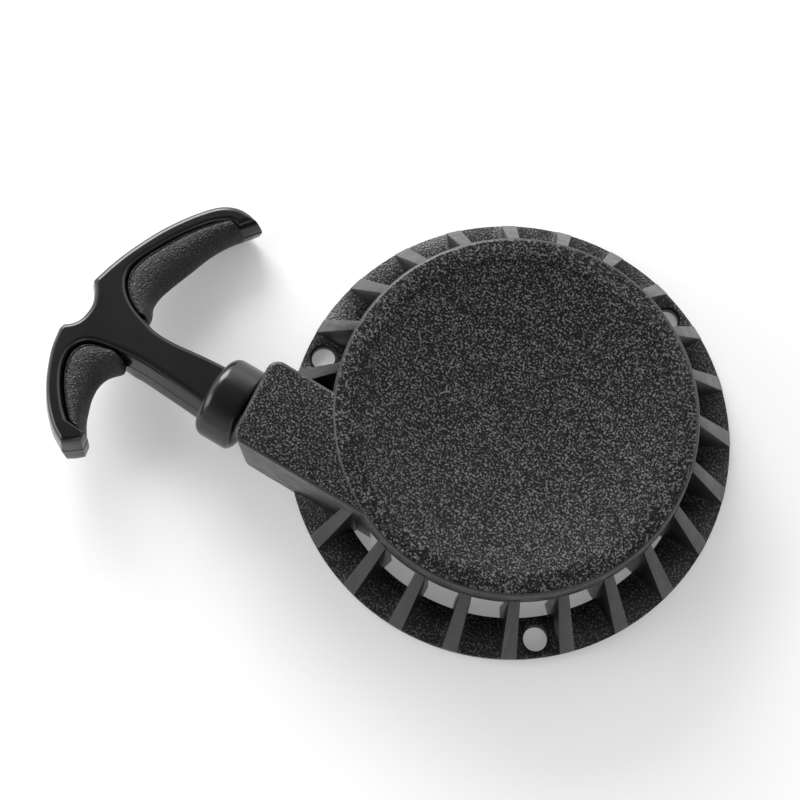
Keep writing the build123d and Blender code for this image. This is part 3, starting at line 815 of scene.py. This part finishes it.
class STARTER_OT_handle(bpy.types.Operator):
    """Build the T-handle: its frame, the two finger pads and the collar"""
    bl_idname = "starter.handle"
    bl_label = "Handle"

    def execute(self, context):
        gloss = gloss_black()
        leather = leather_black()
        pocket = WASHER_HIGH.x
        bore = ROPE_R + 0.45 * MM
        wide = WASHER_R + 0.5 * MM
        cutter = turned([(STEM_ROOT_X, 0.0), (STEM_ROOT_X, bore), (pocket, bore), (pocket, wide),
                         (pocket - 30 * MM, wide), (pocket - 30 * MM, 0.0)], 48)
        finish_piece("grip_frame", bored(grip_frame(), cutter), "handle", gloss,
                     ["handle_grip"])
        finish_piece("grip_pad_long", pad_shape(LONG_PAD), "handle", leather, sharp=60)
        finish_piece("grip_pad_short", pad_shape(SHORT_PAD), "handle", leather, sharp=60)
        left = COLLAR_LOW.x
        right = COLLAR_HIGH.x
        outer = COLLAR_R
        round_left = 3.0 * MM
        round_right = 1.8 * MM
        hole = 2.6 * MM
        profile = [(left + 1.2 * MM, 6.0 * MM), (left, 7.6 * MM)]
        profile += arc_points(left + round_left, outer - round_left, round_left, 180, 90)
        profile += arc_points(right - round_right, outer - round_right, round_right, 90, 0)
        profile += [(right, hole + 1.0 * MM), (right - 1.0 * MM, hole), (left + 1.2 * MM, hole)]
        finish_piece("seat_collar", turned(profile), "handle", gloss, ["handle_collar"],
                     sharp=50)
        return {"FINISHED"}


class STARTER_OT_rope(bpy.types.Operator):
    """Build the rope: its turns on the reel, the straight lead and the two knots"""
    bl_idname = "starter.rope"
    bl_label = "Rope"

    def execute(self, context):
        wound = braided("braid_wound", False)
        finish_piece("rope_turns", rope_tube(wound_path(), ROPE_R, 12), "reel", wound,
                     ["rope_coil"], sharp=80)
        knotted = braided("braid_knot", False)
        centre = REEL_KNOT_LOW.lerp(REEL_KNOT_HIGH, 0.5)
        finish_piece("reel_knot", knot_mesh("reel_knot", knot_path(centre, 1.25 * MM, False), 1.1 * MM),
                     "reel", knotted, ["rope_reel_knot"], sharp=80)
        centre = CROWN_KNOT_LOW.lerp(CROWN_KNOT_HIGH, 0.5)
        finish_piece("crown_knot", knot_mesh("crown_knot", knot_path(centre, 1.25 * MM, True), 1.1 * MM),
                     "rope", knotted, ["rope_handle_knot"], sharp=80)

        start = LEAD_HIGH.x
        end = LEAD_LOW.x
        steps = 90
        line = [Vector((start + (end - start) * i / steps, ROPE_Y, ROPE_Z)) for i in range(steps + 1)]
        lead = finish_piece("pull_rope", rope_tube(line, ROPE_R, 16), None,
                            braided("braid_straight", True), ["rope_lead"], sharp=80)
        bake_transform(lead)
        return {"FINISHED"}


class STARTER_OT_inside(bpy.types.Operator):
    """Give the reel, spring, pawls and fasteners their finishes"""
    bl_idname = "starter.inside"
    bl_label = "Inside Parts"

    def execute(self, context):
        zinc = plated_metal("zinc_plate", (0.36, 0.37, 0.38), (0.58, 0.59, 0.60), 1.2 * MM, 0.32)
        blued = plated_metal("blued_spring", (0.05, 0.055, 0.075), (0.14, 0.15, 0.18), 1.0 * MM, 0.28)
        brass = plated_metal("turned_brass", (0.52, 0.36, 0.14), (0.70, 0.52, 0.24), 1.0 * MM, 0.30)
        finishes = {
            nylon_grey(): ("rope_reel",),
            blued: ("recoil_spring", "brake_spring", "pawl_spring_a", "pawl_spring_b"),
            brass: ("threaded_insert",),
            zinc: ("rope_guide_bush", "pivot_sleeve", "upper_thrust_washer", "spring_case",
                   "spring_anchor_pin", "knot_washer", "retaining_washer", "spacer_sleeve", "lower_washer",
                   "center_screw", "pawl_guide", "pawl_a", "pawl_b", "pawl_pin_a", "pawl_pin_b"),
        }
        for material, names in finishes.items():
            for name in names:
                dress(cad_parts[name], material)
        return {"FINISHED"}


class STARTER_OT_stage(bpy.types.Operator):
    """Set up the floor, the soft light and the camera"""
    bl_idname = "starter.stage"
    bl_label = "Stage"

    def execute(self, context):
        s = context.scene.starter_stage
        bm = bmesh.new()
        bmesh.ops.create_grid(bm, x_segments=1, y_segments=1, size=3.0)
        bmesh.ops.translate(bm, verts=bm.verts[:], vec=(0, 0, CAD_LOW.z - 0.05 * MM))
        mesh = bpy.data.meshes.new("floor")
        bm.to_mesh(mesh)
        bm.free()
        floor = bpy.data.objects.new("floor", mesh)
        context.scene.collection.objects.link(floor)
        dress(floor, pale_floor())

        back = Vector((math.sin(s.azimuth) * math.cos(s.elevation),
                       -math.cos(s.azimuth) * math.cos(s.elevation), math.sin(s.elevation)))
        level = Vector((math.cos(s.azimuth), math.sin(s.azimuth), 0))
        upward = level.cross(-back)
        right = math.cos(s.roll) * level + math.sin(s.roll) * upward
        up = math.cos(s.roll) * upward - math.sin(s.roll) * level
        place_at = -s.aim_right * right - s.aim_up * up + s.distance * back
        data = bpy.data.cameras.new("camera")
        data.lens = s.lens
        data.sensor_width = 36.0
        data.clip_start = 0.01
        camera = bpy.data.objects.new("camera", data)
        turn = Matrix((right, up, back)).transposed().to_4x4()
        camera.matrix_world = Matrix.Translation(place_at) @ turn
        context.scene.collection.objects.link(camera)
        context.scene.camera = camera

        away = Vector((-back.x, -back.y, 0)).normalized()
        area_light("back_light", away * 0.92 - level * 0.36 + Vector((0, 0, 0.42)), 0.6, 11.0)
        area_light("side_light", -level * 0.75 + Vector((0, 0, 0.40)), 0.4, 2.0)
        area_light("front_light", -away * 0.8 + level * 0.3 + Vector((0, 0, 0.5)), 0.6, 0.8)
        sky_light(away)
        context.scene.view_settings.view_transform = "Standard"
        return {"FINISHED"}


def area_light(name, position, size, power):
    """A square soft light aimed at the object."""
    data = bpy.data.lights.new(name, "AREA")
    data.size = size
    data.energy = power
    lamp = bpy.data.objects.new(name, data)
    lamp.location = position
    lamp.rotation_euler = (-position).to_track_quat("-Z", "Y").to_euler()
    bpy.context.scene.collection.objects.link(lamp)


def sky_light(away):
    """White light all round, dim overhead and on the viewer's side."""
    world = bpy.data.worlds.new("studio")
    bpy.context.scene.world = world
    world.use_nodes = True
    tree = world.node_tree
    direction = node(tree, "TexCoord").outputs["Generated"]
    height = node(tree, "SeparateXYZ", {0: direction}).outputs["Z"]
    shade = ramp(tree, height, [(0.0, 1.0), (0.30, 1.0), (0.70, 0.30), (0.85, 0.12), (1.0, 0.10)])
    behind = node(tree, "VectorMath", {0: direction, 1: away}, operation="DOT_PRODUCT").outputs["Value"]
    lit = mix_colour(tree, 1.0, shade, remap(tree, behind, -0.6, 0.5, 0.4, 1.0), "MULTIPLY")
    background = tree.nodes["Background"]
    tree.links.new(lit, background.inputs["Color"])
    background.inputs["Strength"].default_value = 2.0


class STARTER_PT_panel(bpy.types.Panel):
    """Pull starter pieces"""
    bl_idname = "STARTER_PT_panel"
    bl_label = "Pull Starter"
    bl_space_type = "VIEW_3D"
    bl_region_type = "UI"
    bl_category = "Starter"

    def draw(self, context):
        for operator in OPERATORS:
            self.layout.operator(operator.bl_idname)
        for group in SETTINGS:
            box = self.layout.box()
            values = getattr(context.scene, group)
            for name in values.bl_rna.properties.keys():
                if name not in ("rna_type", "name"):
                    box.prop(values, name)


SETTINGS = {
    "starter_cover": CoverSettings,
    "starter_grip": GripSettings,
    "starter_rope": RopeSettings,
    "starter_stage": StageSettings,
}
OPERATORS = (STARTER_OT_stage, STARTER_OT_cover, STARTER_OT_handle, STARTER_OT_rope, STARTER_OT_inside)


def register():
    for group, kind in SETTINGS.items():
        bpy.utils.register_class(kind)
        setattr(bpy.types.Scene, group, PointerProperty(type=kind))
    for kind in OPERATORS + (STARTER_PT_panel,):
        bpy.utils.register_class(kind)


def unregister():
    for kind in reversed(OPERATORS + (STARTER_PT_panel,)):
        bpy.utils.unregister_class(kind)
    for group, kind in SETTINGS.items():
        delattr(bpy.types.Scene, group)
        bpy.utils.unregister_class(kind)


def main():
    register()
    bpy.ops.starter.stage()
    bpy.ops.starter.cover()
    bpy.ops.starter.handle()
    bpy.ops.starter.rope()
    bpy.ops.starter.inside()


if __name__ == "__main__":
    main()
